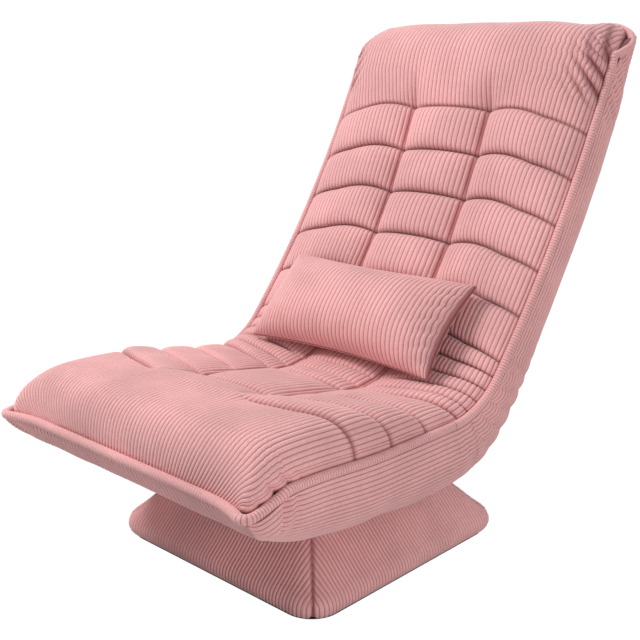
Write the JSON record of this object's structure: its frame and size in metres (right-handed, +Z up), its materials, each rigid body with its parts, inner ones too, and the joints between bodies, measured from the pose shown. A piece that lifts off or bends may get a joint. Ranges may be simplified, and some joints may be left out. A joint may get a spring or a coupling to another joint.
{
  "type": "swivel floor recliner",
  "caption": "Legless swivel floor chair: tufted corduroy seat and reclining back in one curve, loose lumbar pillow, low square base.",
  "frame": {"origin": "centre of the base's underside, on the floor and on the swivel axis", "axes": "+Z up along the swivel axis, the chair faces -Y, +X to the right seen from the front"},
  "size_m": [0.556, 0.8986, 0.8209],
  "materials": {
    "corduroy": "jumbo corduroy, dusty pink, padded and tufted",
    "corduroy_shell": "jumbo corduroy, dusty pink, wales lengthwise",
    "corded_piping": "piping covered in cross-ribbed corduroy",
    "pillow_corduroy": "jumbo corduroy, dusty pink",
    "anti_slip": "black dotted anti-slip sheet",
    "plywood": "raw plywood",
    "plate_steel": "pressed steel, zinc plated",
    "ball_steel": "polished steel",
    "cage_nylon": "natural nylon",
    "zinc": "zinc plated",
    "frame_paint": "black powder coat",
    "webbing": "elastic woven webbing"
  },
  "bodies": {
    "base": {"anti_slip_sheet": "anti_slip", "base_board": "plywood", "hip_ribs": "plywood", "base_top_board": "plywood", "rib_screws": "zinc", "base_cover": "corduroy", "swivel_lower_plate": "plate_steel", "lower_plate_screws": "zinc", "king_bolt": "zinc", "king_washer": "zinc", "king_nut": "zinc"},
    "bearing": {"ball_cage": "cage_nylon", "bearing_balls": "ball_steel"},
    "seat": {"swivel_upper_plate": "plate_steel", "upper_plate_bolts": "zinc", "seat_cross_rails": "frame_paint", "seat_frame_tube": "frame_paint", "seat_webbing": "webbing", "seat_pad": "corduroy", "seat_shell": "corduroy_shell", "seat_piping": "corded_piping", "crook_pad": "corduroy", "crook_shell": "corduroy_shell", "crook_piping": "corded_piping", "left_seat_arm": "plate_steel", "right_seat_arm": "plate_steel", "left_hinge_pin": "zinc", "right_hinge_pin": "zinc", "lumbar_pillow": "pillow_corduroy"},
    "back": {"back_frame_tube": "frame_paint", "back_cross_tube": "frame_paint", "back_webbing": "webbing", "back_pad": "corduroy", "back_shell": "corduroy_shell", "back_piping": "corded_piping", "left_back_arm": "plate_steel", "right_back_arm": "plate_steel"}
  },
  "joints": [
    {"name": "swivel", "type": "hinge", "parent": "base", "child": "seat", "pos_m": [0, 0, 0.134], "axis": [0, 0, 1], "continuous": true},
    {"name": "bearing_roll", "type": "hinge", "parent": "base", "child": "bearing", "pos_m": [0, 0, 0.134], "axis": [0, 0, 1], "continuous": true},
    {"name": "recline", "type": "hinge", "parent": "seat", "child": "back", "pos_m": [0, 0.1136, 0.20086], "axis": [-1, 0, 0], "range_deg": [-32, 58], "deforming": ["crook_pad", "crook_shell", "crook_piping", "lumbar_pillow"]}
  ],
  "couplings": [
    {"joint": "bearing_roll", "follows": "swivel", "ratio": 0.5}
  ]
}
